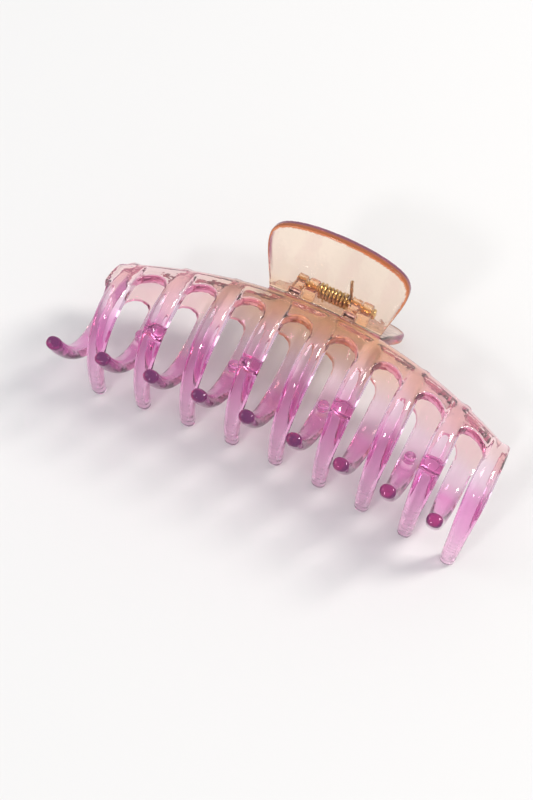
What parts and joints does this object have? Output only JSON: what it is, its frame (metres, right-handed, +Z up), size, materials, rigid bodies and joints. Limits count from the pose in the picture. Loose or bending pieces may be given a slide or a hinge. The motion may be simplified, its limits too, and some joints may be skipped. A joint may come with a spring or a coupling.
{
  "type": "hair claw clip",
  "caption": "Large moulded hair claw clip: two interlocking curved-tooth jaws on a headed pin, closed by a torsion spring, lying on its side.",
  "frame": {"origin": "centre of the bounding box, on the resting plane", "axes": "+X along the clip, +Y from the teeth towards the handles, +Z up from the surface the clip lies on"},
  "size_m": [0.1342, 0.0706, 0.0568],
  "materials": {
    "lower_jaw": "clear tinted, gloss",
    "upper_jaw": "clear tinted, gloss",
    "hinge_pin": "polished plating",
    "torsion_spring": "polished plating"
  },
  "bodies": {
    "lower": {"lower_jaw": "lower_jaw", "hinge_pin": "hinge_pin", "torsion_spring": "torsion_spring"},
    "upper": {"upper_jaw": "upper_jaw"}
  },
  "joints": [
    {"name": "jaw_hinge", "type": "hinge", "parent": "lower", "child": "upper", "pos_m": [0, 0.02374, 0.02759], "axis": [-1, 0, 0], "range_deg": [0, 60], "stiffness_Nm_per_rad": 0.147, "springref_deg": -17.19, "deforming": ["torsion_spring"]}
  ]
}
